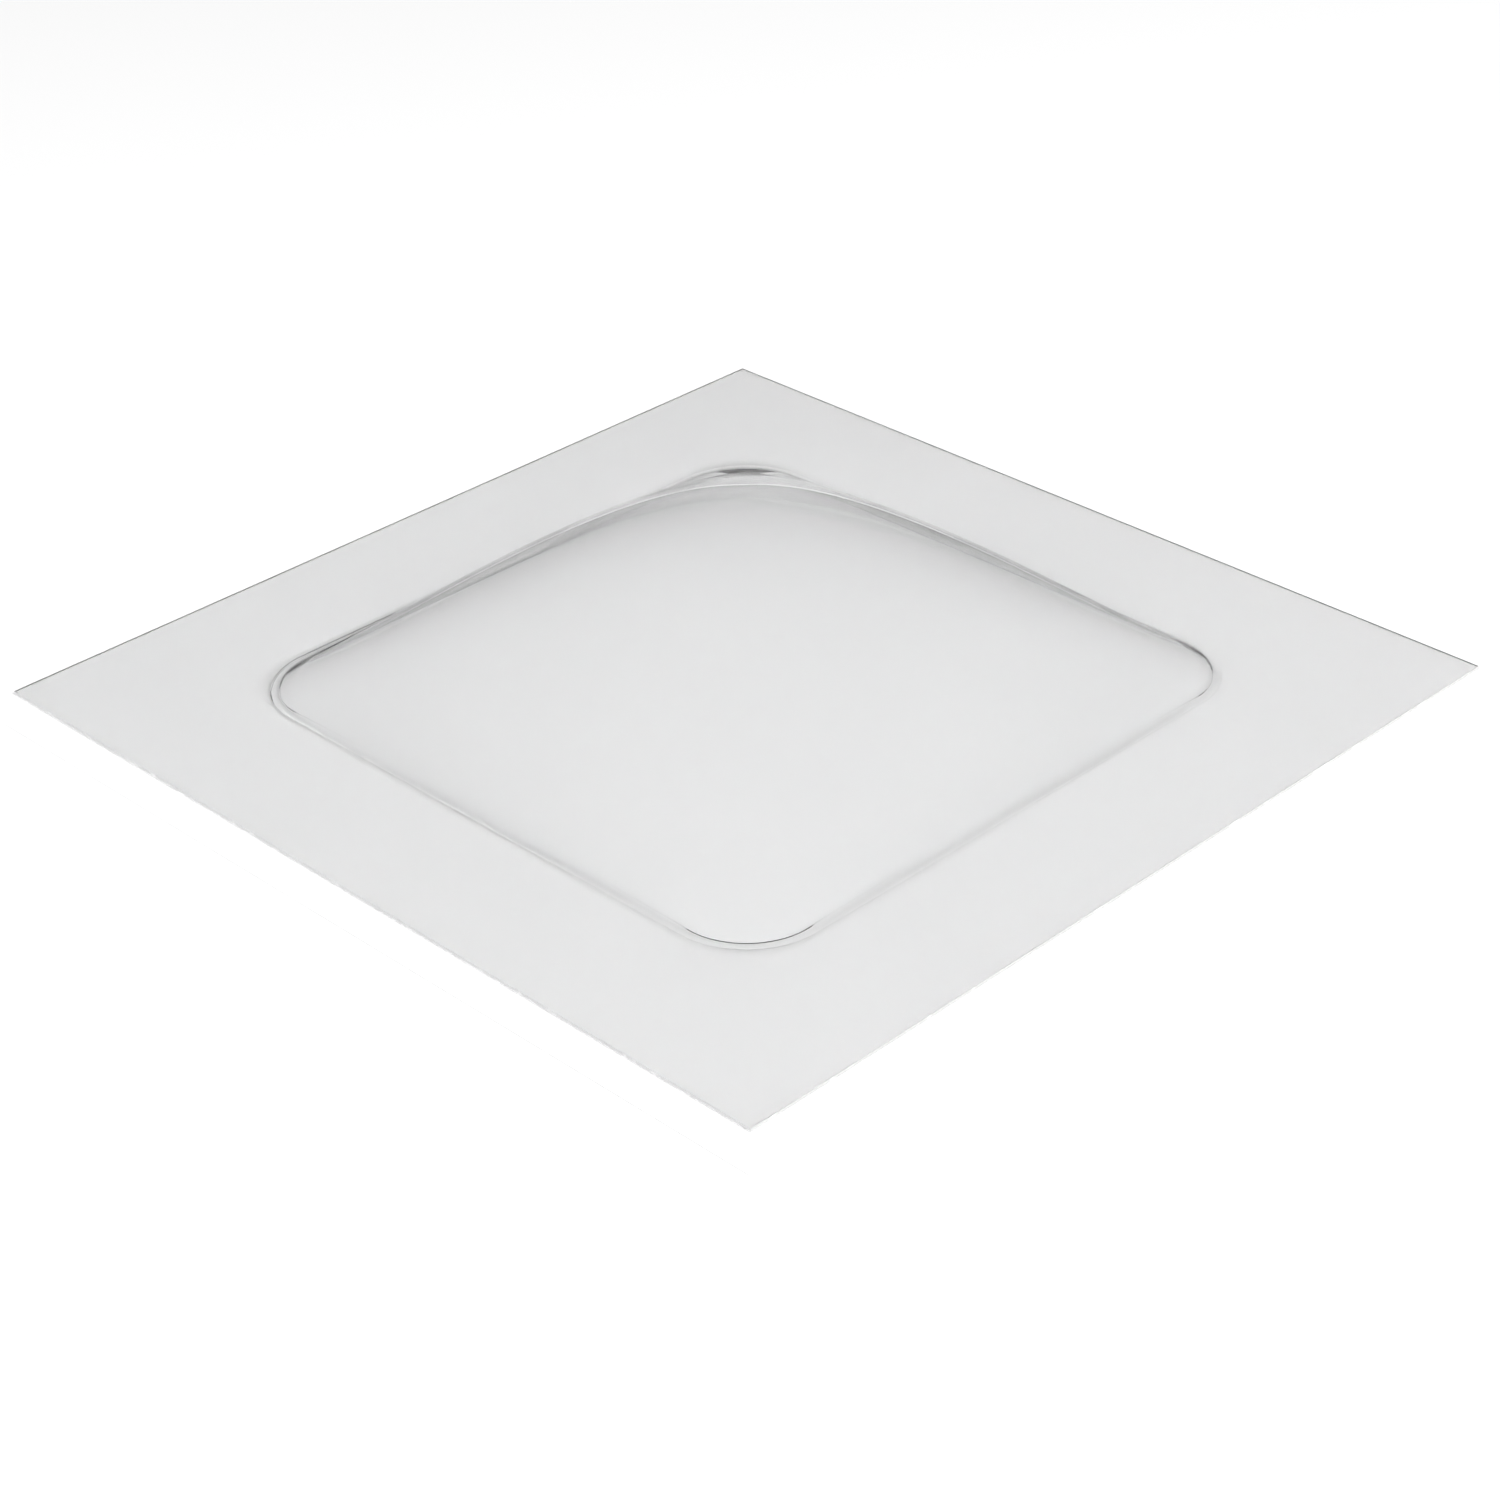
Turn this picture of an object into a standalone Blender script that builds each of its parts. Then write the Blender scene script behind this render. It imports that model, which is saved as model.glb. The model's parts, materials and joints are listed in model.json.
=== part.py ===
"""Domed clear roof vent cover: one thermoformed sheet with a flat square flange.

Units are metres and +Z is up. The origin is the middle of the flange's underside, so the
flange rests on the plane z = 0 and the dome rises above it, hollow and open underneath.
"""
import math

import bmesh
import bpy
import numpy as np

# Driving dimensions
FLANGE_SIDE = 0.508           # side of the square sheet
SHEET_THICKNESS = 0.0015
DOME_BASE = 0.350             # width of the dome's foot, flat side to flat side
BASE_CORNER_RADIUS = 0.040    # corner radius of the foot's outline
DOME_RISE = 0.070             # flange top to the outside of the crown
CREASE_REACH = 0.002          # how far the bend at the foot reaches to each side of its line

# Mesh steps
SIDE_STEPS = 8                # along one straight side of the foot
CORNER_STEPS = 8              # round one corner of the foot, an even number
DOME_RINGS = 14               # between the foot and the middle
RING_CROWDING = 1.25          # above 1, rings lie closer together near the foot
CREASE_SEGMENTS = 2
HARMONICS = 7                 # terms of the series that shapes the dome's level lines
HALVINGS = 40                 # steps of the search for a level line

CLEAR_COLOUR = (0.93, 0.95, 0.95, 1.0)
CLEAR_ROUGHNESS = 0.04
CLEAR_IOR = 1.49


def clear_scene():
    """Remove whatever the file starts with."""
    for thing in list(bpy.data.objects):
        bpy.data.objects.remove(thing, do_unlink=True)


def new_collection(name):
    collection = bpy.data.collections.new(name)
    bpy.context.scene.collection.children.link(collection)
    return collection


def clear_plastic():
    """Colourless glossy sheet plastic."""
    material = bpy.data.materials.new("clear_plastic")
    material.use_nodes = True
    shader = material.node_tree.nodes["Principled BSDF"]
    shader.inputs["Base Color"].default_value = CLEAR_COLOUR
    shader.inputs["Roughness"].default_value = CLEAR_ROUGHNESS
    shader.inputs["Metallic"].default_value = 0.0
    shader.inputs["IOR"].default_value = CLEAR_IOR
    shader.inputs["Transmission Weight"].default_value = 1.0
    return material


def foot_directions():
    """Angles about Z of the points that are spread round the foot's outline."""
    corner_centre = DOME_BASE / 2 - BASE_CORNER_RADIUS
    quarter = []
    for step in range(SIDE_STEPS):
        along = corner_centre * (2 * step / SIDE_STEPS - 1)
        quarter.append(math.atan2(along, DOME_BASE / 2))
    for step in range(CORNER_STEPS):
        turn = math.pi / 2 * step / CORNER_STEPS
        x = corner_centre + BASE_CORNER_RADIUS * math.cos(turn)
        y = corner_centre + BASE_CORNER_RADIUS * math.sin(turn)
        quarter.append(math.atan2(y, x))
    return [angle + side * math.pi / 2 for side in range(4) for angle in quarter]


def rounded_square_reach(half_width, radius, angle):
    """Distance from the middle to a rounded square's outline, in one direction."""
    long_way = max(abs(math.cos(angle)), abs(math.sin(angle)))
    short_way = min(abs(math.cos(angle)), abs(math.sin(angle)))
    centre = half_width - radius
    if half_width * short_way <= centre * long_way:
        return half_width / long_way
    chord = radius ** 2 - (centre * (long_way - short_way)) ** 2
    return centre * (long_way + short_way) + math.sqrt(chord)


def harmonics(reach, angle):
    """Fourfold harmonic terms at a point, reach measured in half widths of the foot."""
    order = 4 * np.arange(HARMONICS)
    return np.cos(order * angle) * (reach / math.sqrt(2)) ** order


def blown_series():
    """Weights of the harmonics that hold a pressed membrane to the foot's outline.

    A soft sheet under pressure stands as high as a constant, less the squared distance from
    the middle, plus harmonic terms. The weights are those that bring it to zero all along
    the foot.
    """
    rows = []
    squares = []
    for angle in foot_directions():
        outline = rounded_square_reach(DOME_BASE / 2, BASE_CORNER_RADIUS, angle)
        reach = outline / (DOME_BASE / 2)
        rows.append(harmonics(reach, angle))
        squares.append(reach ** 2)
    return np.linalg.lstsq(np.array(rows), np.array(squares), rcond=None)[0]


def level_reach(weights, share, angle):
    """Distance from the middle to one of the dome's level lines, in one direction.

    A level line is named by its share: 1 is the foot's outline and 0 is the crown.
    """
    inside = 0.0
    outside = rounded_square_reach(DOME_BASE / 2, BASE_CORNER_RADIUS, angle)
    if share == 1:
        return outside
    for _ in range(HALVINGS):
        middle = (inside + outside) / 2
        reach = middle / (DOME_BASE / 2)
        stand = weights @ harmonics(reach, angle) - reach ** 2
        if stand > (1 - share ** 2) * weights[0]:
            inside = middle
        else:
            outside = middle
    return inside


def crown_height(share):
    """Height over the flange of a level line: the heights of a spherical cap."""
    half_width = DOME_BASE / 2
    ball_radius = (half_width ** 2 + DOME_RISE ** 2) / (2 * DOME_RISE)
    return math.sqrt(ball_radius ** 2 - (half_width * share) ** 2) - ball_radius + DOME_RISE


def dome_ring(weights, share):
    height = SHEET_THICKNESS + crown_height(share)
    ring = []
    for angle in foot_directions():
        reach = level_reach(weights, share, angle)
        ring.append((reach * math.cos(angle), reach * math.sin(angle), height))
    return ring


def flange_edge_ring():
    """The sheet's square edge, with a point on each corner."""
    ring = []
    for angle in foot_directions():
        reach = FLANGE_SIDE / 2 / max(abs(math.cos(angle)), abs(math.sin(angle)))
        ring.append((reach * math.cos(angle), reach * math.sin(angle), SHEET_THICKNESS))
    return ring


def loft(mesh_builder, outer, inner):
    """Quads between two rings of vertices, facing up."""
    count = len(outer)
    for here in range(count):
        there = (here + 1) % count
        mesh_builder.faces.new((outer[here], outer[there], inner[there], inner[here]))


def make_domed_pane(collection, material):
    """Outer surface of the sheet as one open loft, then a bent crease and a wall."""
    builder = bmesh.new()
    shares = [1 - (step / DOME_RINGS) ** RING_CROWDING for step in range(DOME_RINGS)]
    weights = blown_series()
    rings = [flange_edge_ring()] + [dome_ring(weights, share) for share in shares]
    vertex_rings = [[builder.verts.new(point) for point in ring] for ring in rings]
    for outer, inner in zip(vertex_rings, vertex_rings[1:]):
        loft(builder, outer, inner)
    crown = builder.verts.new((0, 0, SHEET_THICKNESS + crown_height(0)))
    last = vertex_rings[-1]
    for here, start in enumerate(last):
        builder.faces.new((start, last[(here + 1) % len(last)], crown))

    crease_weight = builder.edges.layers.float.new("bevel_weight_edge")
    foot = set(vertex_rings[1])
    for edge in builder.edges:
        if foot.issuperset(edge.verts):
            edge[crease_weight] = 1.0

    mesh = bpy.data.meshes.new("domed_pane")
    builder.to_mesh(mesh)
    builder.free()
    mesh.materials.append(material)
    pane = bpy.data.objects.new("domed_pane", mesh)
    collection.objects.link(pane)

    bend = pane.modifiers.new("Crease bend", "BEVEL")
    bend.limit_method = "WEIGHT"
    bend.width = CREASE_REACH
    bend.segments = CREASE_SEGMENTS
    wall = pane.modifiers.new("Sheet wall", "SOLIDIFY")
    wall.thickness = SHEET_THICKNESS
    wall.offset = -1
    wall.use_even_offset = True

    mesh.shade_smooth()
    mesh.set_sharp_from_angle(angle=math.radians(30))
    return pane


clear_scene()
make_domed_pane(new_collection("roof_vent_cover"), clear_plastic())
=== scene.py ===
# %% [markdown]
# # A clear roof vent cover in one sheet
#
# The cover is a single sheet of clear plastic. It was clamped over a square ring with round
# corners, heated until soft and blown up from one side, so that a low dome stands in the
# middle and a flat flange is left all round. This lesson makes that sheet as a fine mesh,
# gives it the finish of clear plastic, and lights it in a plain studio.
#
# The first cell loads the packed model, which says how big everything is.

# %% Load the packed frame
import json
import math

import bmesh
import bpy
import numpy as np
from mathutils import Matrix, Vector


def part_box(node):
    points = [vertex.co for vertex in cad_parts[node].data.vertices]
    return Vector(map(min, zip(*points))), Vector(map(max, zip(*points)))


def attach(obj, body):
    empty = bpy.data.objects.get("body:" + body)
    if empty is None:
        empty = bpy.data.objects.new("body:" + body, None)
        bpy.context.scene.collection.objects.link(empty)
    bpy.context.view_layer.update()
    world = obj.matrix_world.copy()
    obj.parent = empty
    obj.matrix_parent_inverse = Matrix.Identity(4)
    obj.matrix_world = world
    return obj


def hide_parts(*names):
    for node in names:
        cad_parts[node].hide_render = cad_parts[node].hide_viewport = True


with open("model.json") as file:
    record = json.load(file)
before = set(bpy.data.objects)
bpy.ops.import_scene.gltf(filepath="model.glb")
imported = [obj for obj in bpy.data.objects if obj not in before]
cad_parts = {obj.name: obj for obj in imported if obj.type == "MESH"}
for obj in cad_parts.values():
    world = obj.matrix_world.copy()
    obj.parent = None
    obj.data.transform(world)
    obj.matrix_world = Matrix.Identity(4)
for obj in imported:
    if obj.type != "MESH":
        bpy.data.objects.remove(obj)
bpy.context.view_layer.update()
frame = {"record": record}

# %% [markdown]
# ## Sizes
#
# The sheet's side, its thickness and the dome's height are read from the packed model, so the
# fine mesh can't drift away from it. The thickness is the distance between the two faces of
# the flange, which the record gives as its two mounts. The foot of the dome and the bend
# along it repeat the sizes of the design.

# %% Sizes from the packed model
high_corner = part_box("domed_pane")[1]
mounts = {mount["name"]: mount for mount in frame["record"]["mounts"]}

half_side = high_corner.x
thickness = mounts["flange_top"]["pos_m"][2] - mounts["flange_seat"]["pos_m"][2]
dome_rise = high_corner.z - thickness

foot_half_width = 0.175
foot_corner_radius = 0.040
bend_reach = 0.002
bend_segments = 8

print(f"sheet {2000 * half_side:.1f} mm square, {1000 * thickness:.2f} mm thick")
print(f"dome {1000 * dome_rise:.1f} mm high over the flange")

# %% [markdown]
# ## The shape of a blown dome
#
# A soft sheet that is blown up behaves like a soap film. It could be simulated as a
# pressurised cloth, but a cloth solver leaves small ripples, and on clear plastic every
# ripple shows. A film's shape is also known on paper: its height is a constant, less the
# squared distance from the middle, plus a few waves that repeat four times round. The
# constant and the waves are fitted so that the height is zero all along the rounded square
# of the ring.
#
# The lines of equal height, the level lines, then follow: nearly the ring's own outline at
# the foot, and a circle at the crown. A level line is named by its share, 1 at the foot and
# 0 at the crown.

# %% Fit the film to the ring
waves = 7
halvings = 34
fit_points = 720


def ring_reach(angle):
    """Distance from the middle to the foot's outline, for an array of angles."""
    long_way = np.maximum(np.abs(np.cos(angle)), np.abs(np.sin(angle)))
    short_way = np.minimum(np.abs(np.cos(angle)), np.abs(np.sin(angle)))
    centre = foot_half_width - foot_corner_radius
    chord = foot_corner_radius ** 2 - (centre * (long_way - short_way)) ** 2
    in_corner = centre * (long_way + short_way) + np.sqrt(np.maximum(chord, 0))
    on_side = foot_half_width / long_way
    return np.where(foot_half_width * short_way <= centre * long_way, on_side, in_corner)


def film_terms(reach, angle):
    """The waves at some points, with reach measured in half widths of the foot."""
    order = 4 * np.arange(waves)
    return np.cos(np.outer(angle, order)) * (reach[:, None] / math.sqrt(2)) ** order


fit_angles = np.linspace(0, 2 * math.pi, fit_points, endpoint=False)
fit_reaches = ring_reach(fit_angles) / foot_half_width
film_weights = np.linalg.lstsq(film_terms(fit_reaches, fit_angles), fit_reaches ** 2,
                               rcond=None)[0]


def level_reach(share, angle):
    """Distance from the middle to a level line, by halving, for an array of angles."""
    inside = np.zeros_like(angle)
    outside = ring_reach(angle)
    for _ in range(halvings):
        middle = (inside + outside) / 2
        reach = middle / foot_half_width
        stand = film_terms(reach, angle) @ film_weights - reach ** 2
        too_high = stand > (1 - share ** 2) * film_weights[0]
        inside = np.where(too_high, middle, inside)
        outside = np.where(too_high, outside, middle)
    return (inside + outside) / 2


def crown_height(share):
    """Height of a level line over the flange: the heights of a ball's cap."""
    ball = (foot_half_width ** 2 + dome_rise ** 2) / (2 * dome_rise)
    return math.sqrt(ball ** 2 - (foot_half_width * share) ** 2) - ball + dome_rise


worst = np.abs(film_terms(fit_reaches, fit_angles) @ film_weights - fit_reaches ** 2).max()
print(f"film fitted to the ring within {100 * worst / film_weights[0]:.1f} % of its height")

# %% [markdown]
# ## Turn a bowl
#
# The mesh is turned first, like a bowl on a lathe: half of its section is drawn as a line of
# vertices, and **spin** sweeps it round the upright axis. The full turn is merged where it
# meets itself. The hole that the line leaves at the crown gets a cap, and **poke** gives the
# cap a vertex in its middle. After that, every vertex only has to slide onto its level line.
#
# Close to the foot, on both sides of it, lie three rings each that will become the witness
# marks: shallow nicks that the edges of the clamping ring pressed into the soft plastic.

# %% Draw half the section and spin it
spokes = 400
dome_rings = 66
flange_rings = 9
crowding = 1.25             # above 1, dome rings lie closer together near the foot
bend_room = 0.0042          # left free between the foot and the first dome ring
crown_share = 0.006         # of the last dome ring, round the hole at the crown
mark_offset = 0.00235       # from the foot to a witness mark
mark_half_width = 0.00030
mark_depth = 0.00016

first_share = 1 - bend_room / foot_half_width
dome_shares = [first_share - (first_share - crown_share) * (step / dome_rings) ** crowding
               for step in range(dome_rings + 1)]
mark_offsets = [mark_offset + side * mark_half_width for side in (-1, 0, 1)]
flange_shares = [step / flange_rings for step in range(flange_rings, 0, -1)]
section = [(foot_half_width + across * (half_side - foot_half_width), 0.0)
           for across in flange_shares]
section += [(foot_half_width + offset, 0.0) for offset in reversed(mark_offsets)]
section += [(foot_half_width, 0.0)]
section += [(foot_half_width - offset, 0.0) for offset in mark_offsets]
section += [(share * foot_half_width, crown_height(share)) for share in dome_shares]

sheet = bmesh.new()
points = [sheet.verts.new((reach, 0, thickness + rise)) for reach, rise in section]
for here, there in zip(points, points[1:]):
    sheet.edges.new((here, there))
bmesh.ops.spin(sheet, geom=sheet.verts[:] + sheet.edges[:], axis=(0, 0, 1), cent=(0, 0, 0),
               angle=2 * math.pi, steps=spokes, use_merge=True)
bmesh.ops.remove_doubles(sheet, verts=sheet.verts[:], dist=1e-6)

crown_edges = [edge for edge in sheet.edges
               if edge.is_boundary and edge.verts[0].co.xy.length < 0.5 * foot_half_width]
crown_cap = bmesh.ops.contextual_create(sheet, geom=crown_edges)["faces"]
bmesh.ops.poke(sheet, faces=crown_cap)

print("turned bowl:", len(sheet.verts), "vertices,", len(sheet.faces), "faces")

# %% [markdown]
# ## From round to rounded square
#
# The spokes are first spread by equal steps along the ring's outline, so that the round
# corners get their share of them. The same number of spokes falls in every quarter, and one
# of them points at each corner, which keeps the flange's corners sharp. Then each vertex
# moves onto its level line, or on the flange onto a line between the ring and the square
# edge of the sheet.
#
# A spoke crosses the round corners squarely, but the straight sides at a slant. How squarely
# it crosses is worked out with its direction, because the witness marks need it to keep an
# even distance from the foot.

# %% Directions of the spokes
side_straight = foot_half_width - foot_corner_radius
corner_arc = math.pi / 2 * foot_corner_radius


def spoke(turn):
    """Direction of a point on the ring, and how squarely its spoke crosses the ring."""
    quarter, part = divmod(turn * 4, 1)
    along = part * (2 * side_straight + corner_arc)
    if along <= side_straight:
        x, y, facing = foot_half_width, along, 0.0
    elif along < side_straight + corner_arc:
        facing = (along - side_straight) / foot_corner_radius
        x = side_straight + foot_corner_radius * math.cos(facing)
        y = side_straight + foot_corner_radius * math.sin(facing)
    else:
        x, y, facing = 2 * side_straight + corner_arc - along, foot_half_width, math.pi / 2
    angle = math.atan2(y, x)
    return angle + quarter * math.pi / 2, math.cos(angle - facing)


print("first spokes:", [round(math.degrees(spoke(step / spokes)[0]), 2) for step in range(4)])

# %% [markdown]
# ## Rings, one by one
#
# The turning leaves tiny errors in how far each vertex lies from the axis, so a vertex is
# given to the ring of the section that it is nearest to, and not tested for an exact reach.
# The middle ring of each witness mark is pushed down a little. The clamp pressed harder on
# one side than on the other, so each mark fades from its deepest direction to the opposite
# one.

# %% Slide the vertices onto their level lines
outer_mark = {"deepest": 170, "least": 0.2}
inner_mark = {"deepest": 225, "least": 0.6}


def nick_depth(angle, deepest, least):
    """Depth of a witness mark in each direction, with its deepest one in degrees."""
    pressure = 0.5 + 0.5 * np.cos(angle - math.radians(deepest))
    return mark_depth * (least + (1 - least) * pressure)


slack = mark_half_width / 10
section_reaches = np.array([reach for reach, rise in section] + [0.0])
rings = [[] for reach in section_reaches]
for vertex in sheet.verts:
    nearest = np.abs(section_reaches - vertex.co.xy.length).argmin()
    rings[nearest].append(vertex)

for reach, ring in zip(section_reaches[:-1], rings):
    turns = [math.atan2(vertex.co.y, vertex.co.x) / (2 * math.pi) % 1 for vertex in ring]
    spoke_facts = np.array([spoke(round(turn * spokes) / spokes % 1) for turn in turns])
    angles, squareness = spoke_facts[:, 0], spoke_facts[:, 1]
    foot_reaches = ring_reach(angles)
    offset = reach - foot_half_width
    at_mark = min(mark_offsets) - slack < abs(offset) < max(mark_offsets) + slack
    nicked = abs(abs(offset) - mark_offset) < slack
    rises = np.full_like(angles, ring[0].co.z - thickness)
    if at_mark and offset > 0:
        reaches = foot_reaches + offset / squareness
        rises -= nicked * nick_depth(angles, **outer_mark)
    elif at_mark:
        gap = foot_reaches - level_reach(first_share, angles)
        reaches = foot_reaches + offset / squareness
        rises = crown_height(first_share) * -offset / squareness / gap
        rises -= nicked * nick_depth(angles, **inner_mark)
    elif offset < 0:
        reaches = level_reach(reach / foot_half_width, angles)
    else:
        across = offset / (half_side - foot_half_width)
        edge_reach = half_side / np.maximum(np.abs(np.cos(angles)), np.abs(np.sin(angles)))
        reaches = (1 - across) * foot_reaches + across * edge_reach
    for vertex, angle, new_reach, rise in zip(ring, angles, reaches, rises):
        vertex.co = (new_reach * math.cos(angle), new_reach * math.sin(angle), thickness + rise)

print("rings:", len(rings), "widest:", round(max(vertex.co.x for vertex in sheet.verts), 4))

# %% [markdown]
# ## The bend and the wall
#
# The plastic can't fold sharply along the ring, so the foot is a bend a few millimetres wide:
# **bevel** on the edges of that ring rounds it. Then **solidify** gives the sheet its
# thickness, downwards from the face that is modelled. The normals are set right before the
# wall is made, because afterwards the shell is closed and the inner face would be turned
# round. The wall copies the nicks to the underside too, where there are none, so whatever
# sinks below the flange's seat is pressed flat again.

# %% Bend the foot and give the sheet its thickness
bmesh.ops.recalc_face_normals(sheet, faces=sheet.faces[:])
if sum(face.normal.z for face in sheet.faces) < 0:
    bmesh.ops.reverse_faces(sheet, faces=sheet.faces[:])


def on_foot(vertex):
    """Whether a vertex lies on the ring where the dome starts."""
    short_way, long_way = sorted((abs(vertex.co.x), abs(vertex.co.y)))
    if abs(vertex.co.z - thickness) > 1e-6:
        return False
    if short_way < side_straight:
        return abs(long_way - foot_half_width) < 1e-5
    corner_reach = math.hypot(short_way - side_straight, long_way - side_straight)
    return abs(corner_reach - foot_corner_radius) < 1e-5


foot_edges = [edge for edge in sheet.edges if all(on_foot(vertex) for vertex in edge.verts)]
bmesh.ops.bevel(sheet, geom=foot_edges, offset=bend_reach, offset_type="OFFSET",
                segments=bend_segments, profile=0.5, affect="EDGES", material=-1)
bmesh.ops.solidify(sheet, geom=sheet.faces[:], thickness=thickness)
for vertex in sheet.verts:
    vertex.co.z = max(vertex.co.z, 0)

heights = [vertex.co.z for vertex in sheet.verts]
print("foot edges:", len(foot_edges), "heights:", round(min(heights), 5), round(max(heights), 5))

# %% [markdown]
# ## Two finishes on one piece
#
# The faces of the sheet are glossy, as they came out of the rollers, but its four cut edges
# were sawn and are frosted. The faces of the cut edges are the ones that stand upright, so
# they are picked by their normals and given a second material slot.

# %% Make it an object
glossy_slot, sawn_slot = 0, 1
sawn = 0
for face in sheet.faces:
    upright = abs(face.normal.z) < 0.1
    at_edge = max(abs(face.calc_center_median().x), abs(face.calc_center_median().y))
    if upright and at_edge > half_side - thickness:
        face.material_index = sawn_slot
        sawn += 1

mesh = bpy.data.meshes.new("clear_domed_sheet")
sheet.to_mesh(mesh)
sheet.free()
mesh.shade_smooth()
mesh.set_sharp_from_angle(angle=math.radians(30))
pane = bpy.data.objects.new("clear_domed_sheet", mesh)
bpy.context.scene.collection.objects.link(pane)

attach(pane, "root")
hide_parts("domed_pane")

print("sawn faces:", sawn, "of", len(mesh.polygons))

# %% [markdown]
# ## A short way to write shader maths
#
# A procedural finish is a sum of noises and masks. Wired by hand it takes a dozen Math nodes,
# so a small class wraps a node's socket and lets Python's own signs add the nodes. The
# reflected forms, such as the one for `1 - mask`, let a number stand first. Every other kind
# of node comes from one method, which sets the node's settings first and then its sockets.

# %% Sockets that can be added up


class Signal:
    """A node socket that takes part in Python sums."""

    def __init__(self, tree, socket):
        self.tree = tree
        self.socket = socket

    def node(self, kind, settings=None, **sockets):
        """Add any node, with its settings first and then its values or links.

        A socket is named with _ for a space, or by its number, such as _0.
        """
        node = self.tree.nodes.new(kind)
        for name, value in (settings or {}).items():
            setattr(node, name, value)
        for name, value in sockets.items():
            by_number = name[1:].isdigit()
            place = node.inputs[int(name[1:]) if by_number else name.replace("_", " ")]
            if isinstance(value, Signal):
                self.tree.links.new(value.socket, place)
            else:
                place.default_value = value
        return node

    def maths(self, operation, *values):
        """Add one Math node on this socket and up to two more values."""
        sockets = {f"_{place}": value for place, value in enumerate(values)}
        node = self.node("ShaderNodeMath", {"operation": operation}, **sockets)
        return Signal(self.tree, node.outputs[0])

    def __add__(self, other):
        return self.maths("ADD", self, other)

    def __radd__(self, other):
        return self.maths("ADD", other, self)

    def __sub__(self, other):
        return self.maths("SUBTRACT", self, other)

    def __rsub__(self, other):
        return self.maths("SUBTRACT", other, self)

    def __mul__(self, other):
        return self.maths("MULTIPLY", self, other)

    def __rmul__(self, other):
        return self.maths("MULTIPLY", other, self)

    def above(self, low, high):
        """A soft step from 0 at one value to 1 at another."""
        node = self.node("ShaderNodeMapRange", {"interpolation_type": "SMOOTHSTEP"},
                         Value=self, From_Min=low, From_Max=high)
        return Signal(self.tree, node.outputs["Result"])

    def between(self, low, high):
        """A colour that goes from one to another as this goes from 0 to 1."""
        node = self.node("ShaderNodeMix", {"data_type": "RGBA"}, _0=self, _6=low, _7=high)
        return Signal(self.tree, node.outputs[2])

    def noise(self, scale, detail, roughness=0.5, stretch=(1, 1, 1), turn=0.0):
        """A noise on these coordinates, turned about the upright axis and stretched."""
        placed = self.node("ShaderNodeMapping", {"vector_type": "POINT"}, Vector=self,
                           Rotation=(0, 0, turn), Scale=stretch)
        made = self.node("ShaderNodeTexNoise", {"noise_dimensions": "3D"},
                         Vector=Signal(self.tree, placed.outputs[0]), Scale=scale,
                         Detail=detail, Roughness=roughness)
        return Signal(self.tree, made.outputs["Fac"])

    def bumps(self, shader, strength, distance):
        """Let this height tilt a shader's normal."""
        node = self.node("ShaderNodeBump", Strength=strength, Distance=distance, Height=self)
        self.tree.links.new(node.outputs["Normal"], shader.inputs["Normal"])

    def feeds(self, shader, socket_name):
        """Link this to one of a shader's sockets."""
        self.tree.links.new(self.socket, shader.inputs[socket_name])


def start_finish(name):
    """A new material, its shader and the piece's own coordinates."""
    material = bpy.data.materials.new(name)
    material.use_nodes = True
    tree = material.node_tree
    where = Signal(tree, tree.nodes.new("ShaderNodeTexCoord").outputs["Object"])
    return material, tree.nodes["Principled BSDF"], where


print("signs:", [name for name in vars(Signal) if name.startswith("__r")])

# %% [markdown]
# ## Clear plastic
#
# The sheet is colourless and lets most light through. Three things keep it from looking like
# a computer's perfect glass:
#
# - its faces wave a little, slowly and with a fainter, finer ripple on top, because the sheet
#   sagged and cooled unevenly, so reflections in it wander;
# - handling leaves hairlines, thin scratches in a few directions, in some patches only;
# - dust and finger marks dull the gloss in soft patches.
#
# The waves and hairlines go through a **Bump** node into the normal, and the hairlines and
# dull patches into the roughness. Everything else is the same all over, so it is set on the
# shader itself. The grey of the colour is partly the little light that the plastic keeps and
# partly painted shade: it darkens the sheet further, standing for the shadow that the sheet
# casts on the floor under it.

# %% The clear finish
plastic, plastic_shader, where = start_finish("clear_plastic_sheet")

line_scale = 220.0
scratch_ways = ((0.4, 2.5), (1.3, 3.5), (2.5, 2.0))     # turn, and noise scale along the line

slow_wave = where.noise(5.0, 1.0)
short_wave = where.noise(16.0, 2.0, 0.4)
hairlines = 0.0
for turn, along in scratch_ways:
    stretch = (along / line_scale, 1, 1)
    line = where.noise(line_scale, 2.0, 0.5, stretch, turn).above(0.735, 0.80)
    handled_patch = where.noise(7.0, 1.0, 0.5, (1, 1, 1), turn).above(0.52, 0.62)
    hairlines = line * handled_patch + hairlines
dullness = where.noise(9.0, 3.0, 0.6).above(0.50, 0.72)

waviness = slow_wave * 1.0 + short_wave * 0.12 - hairlines * 0.0016
waviness.bumps(plastic_shader, 1.0, 0.0012)
gloss = dullness * 0.035 + hairlines * 0.10 + 0.004
gloss.feeds(plastic_shader, "Roughness")

# Painted shade: this grey darkens the clear sheet beyond the plastic's own absorption, standing
# for its shadow on the floor below.
plastic_shader.inputs["Base Color"].default_value = (0.86, 0.86, 0.86, 1.0)
plastic_shader.inputs["IOR"].default_value = 1.49
plastic_shader.inputs["Transmission Weight"].default_value = 1.0
mesh.materials.append(plastic)

print("clear finish:", len(plastic.node_tree.nodes), "nodes")

# %% [markdown]
# ## The sawn edge
#
# A saw leaves fine upright lines and a frosted face, which scatters the light that runs along
# inside the sheet. A plain pale plastic with a rough face and a fine bump does that, and it
# keeps the thin edge from going black, as a clear one would.

# %% The frosted finish
frosted, frosted_shader, where = start_finish("sawn_edge")

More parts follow.
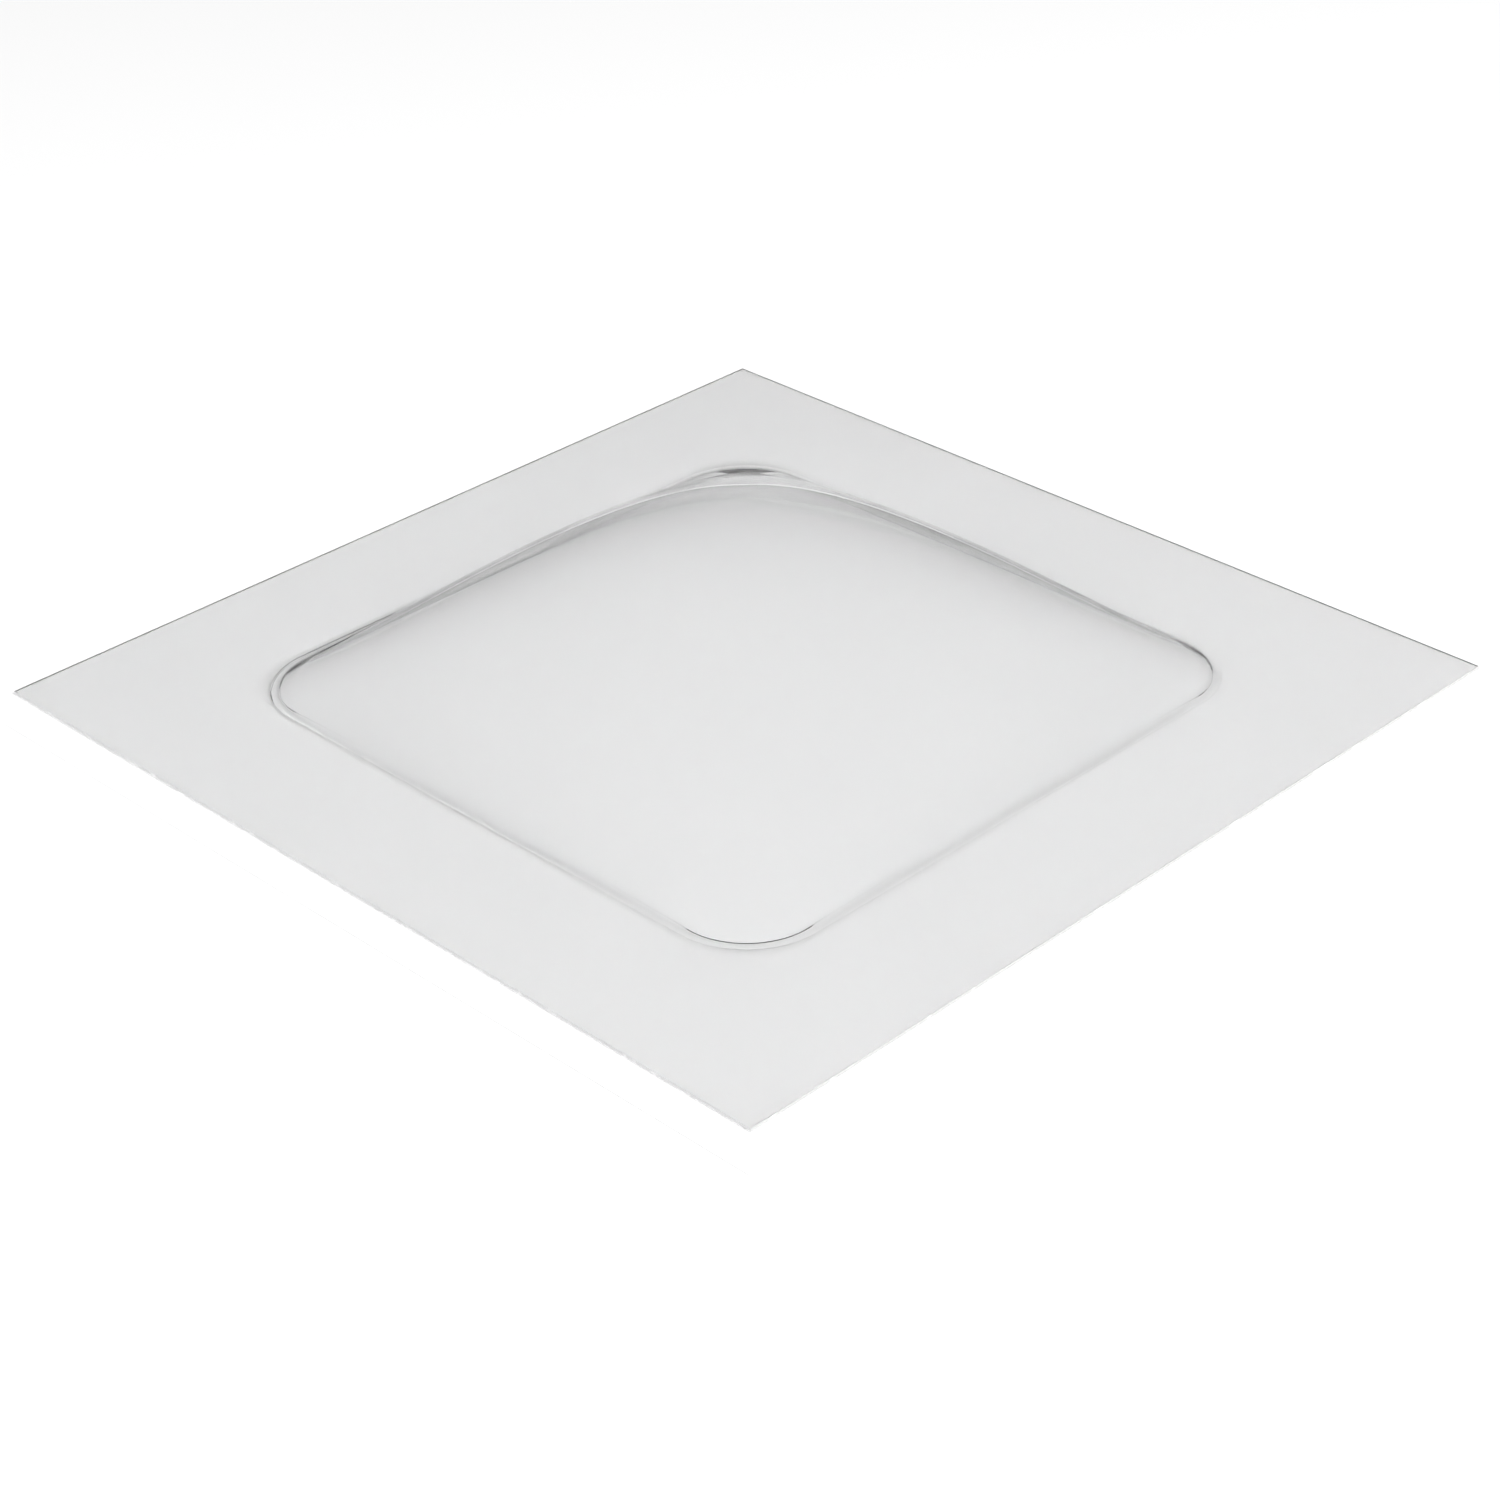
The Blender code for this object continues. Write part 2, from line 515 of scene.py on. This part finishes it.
saw_lines = where.noise(900.0, 2.0, 0.6, (1, 1, 0.05))
saw_lines.bumps(frosted_shader, 0.5, 0.0002)
chips = where.noise(140.0, 2.0).above(0.55, 0.7)
edge_tone = chips.between((0.66, 0.66, 0.66, 1.0), (0.82, 0.82, 0.82, 1.0))
edge_tone.feeds(frosted_shader, "Base Color")
frosted_shader.inputs["Roughness"].default_value = 0.55
frosted_shader.inputs["IOR"].default_value = 1.49
mesh.materials.append(frosted)

print("sawn finish:", len(frosted.node_tree.nodes), "nodes")

# %% [markdown]
# ## Floor
#
# A wide pale floor stands for a studio table. Clear plastic mirrors whatever is round it, so
# the far part of the floor must not shine in the sheet like a lamp: the wide disc hides from
# reflections, and a board of the same paint, just larger than the sheet, lies on it and does
# show in them.

# %% Floor and board
floor_radius = 14.0
floor_height = -0.0004
board_height = -0.0002
board_margin = 0.02


def painted_paper(name, grey):
    """A matt paint with no shine at all."""
    paint = bpy.data.materials.new(name)
    paint.use_nodes = True
    shader = paint.node_tree.nodes["Principled BSDF"]
    shader.inputs["Base Color"].default_value = (grey, grey, grey, 1.0)
    shader.inputs["Roughness"].default_value = 0.9
    shader.inputs["Specular IOR Level"].default_value = 0.0
    return paint


def lay_down(name, builder, paint):
    """Make a stage piece of a flat bmesh."""
    flat = bpy.data.meshes.new(name)
    builder.to_mesh(flat)
    builder.free()
    flat.materials.append(paint)
    thing = bpy.data.objects.new(name, flat)
    bpy.context.scene.collection.objects.link(thing)
    return thing


floor_paint = painted_paper("floor_paint", 0.86)
disc = bmesh.new()
bmesh.ops.create_circle(disc, cap_ends=True, segments=96, radius=floor_radius,
                        matrix=Matrix.Translation((0, 0, floor_height)))
floor = lay_down("floor", disc, floor_paint)
floor.visible_glossy = False

square = bmesh.new()
bmesh.ops.create_grid(square, x_segments=1, y_segments=1, size=half_side + board_margin,
                      matrix=Matrix.Translation((0, 0, board_height)))
board = lay_down("board", square, floor_paint)

print("board side:", round(board.dimensions.x, 3), "m")

# %% [markdown]
# ## The room round the sheet
#
# What gives a clear sheet its grey is the room that it mirrors. The world is a dim room that
# is darkest below the horizon and a little lighter overhead, which the sheet shows as a soft
# grey against a bright floor. A **colour ramp** on the height of the view direction holds its
# greys.

# %% World
world = bpy.data.worlds.new("studio")
bpy.context.scene.world = world
world.use_nodes = True
sky = world.node_tree
direction = Signal(sky, sky.nodes.new("ShaderNodeTexCoord").outputs["Generated"])
split = direction.node("ShaderNodeSeparateXYZ", Vector=direction)
height = Signal(sky, split.outputs["Z"]) * 0.5 + 0.5
ramp = direction.node("ShaderNodeValToRGB", Fac=height)
stops = ramp.color_ramp.elements
stops.remove(stops[1])
room_greys = ((0.49, 0.15), (0.505, 0.30), (0.75, 0.36), (0.90, 0.42), (1.0, 0.42))
for number, (place, grey) in enumerate(room_greys):
    stop = stops.new(place) if number else stops[0]
    stop.position = place
    stop.color = (grey, grey, grey, 1)
sky.links.new(ramp.outputs["Color"], sky.nodes["Background"].inputs["Color"])
sky.nodes["Background"].inputs["Strength"].default_value = 1.26

print("room stops:", [round(stop.position, 3) for stop in stops])

# %% [markdown]
# ## Lamps
#
# Two large soft boxes light the floor evenly. They stand low and to the sides, where no part
# of the dome tilts enough to mirror them towards the camera, and they hide from reflections,
# so there is no hot spot. The stronger one stands on the right.

# %% Lamps


def soft_light(name, azimuth, elevation, distance, size, power):
    """A square soft box that looks at the middle of the sheet."""
    lamp = bpy.data.lights.new(name, "AREA")
    lamp.size = size
    lamp.energy = power
    lamp_box = bpy.data.objects.new(name, lamp)
    bpy.context.scene.collection.objects.link(lamp_box)
    flat = math.cos(math.radians(elevation))
    place = distance * Vector((flat * math.cos(math.radians(azimuth)),
                               flat * math.sin(math.radians(azimuth)),
                               math.sin(math.radians(elevation))))
    lamp_box.location = place
    lamp_box.rotation_euler = (-place).to_track_quat("-Z", "Y").to_euler()
    lamp_box.visible_glossy = False
    return lamp_box


soft_light("right_soft_box", 285, 42, 5.0, 2.6, 212.0)
soft_light("left_soft_box", 160, 40, 5.0, 2.6, 120.0)

# %% [markdown]
# ## Camera
#
# The camera looks down at the sheet along one of its diagonals. Depth of field stays off. The
# view transform is Standard, so that a white floor stays white, and the renderer's glossy
# filter is off: it would blur the light that passes through the clear sheet and leave a dark
# shadow under it.

# %% Camera and colour
camera_azimuth = math.radians(225.193)
camera_elevation = math.radians(31.306)
camera_roll = math.radians(-1.082)
camera_distance = 1.6084
camera_aim = Vector((-0.04659, -0.04882, thickness))

towards = Vector((math.cos(camera_elevation) * math.cos(camera_azimuth),
                  math.cos(camera_elevation) * math.sin(camera_azimuth),
                  math.sin(camera_elevation)))
lens = bpy.data.cameras.new("camera")
lens.sensor_width = 36.0
lens.lens = 81.52
camera = bpy.data.objects.new("camera", lens)
bpy.context.scene.collection.objects.link(camera)
looking_back = towards.to_track_quat("Z", "Y").to_matrix().to_4x4()
camera.matrix_world = (Matrix.Translation(camera_aim + towards * camera_distance)
                       @ looking_back @ Matrix.Rotation(camera_roll, 4, "Z"))
bpy.context.scene.camera = camera
bpy.context.scene.view_settings.view_transform = "Standard"
bpy.context.scene.cycles.blur_glossy = 0.0

print("camera height:", round(camera.location.z, 3), "m")

# %% [markdown]
# ## The end
#
# The view layer is updated a last time.

# %% Finish
bpy.context.view_layer.update()
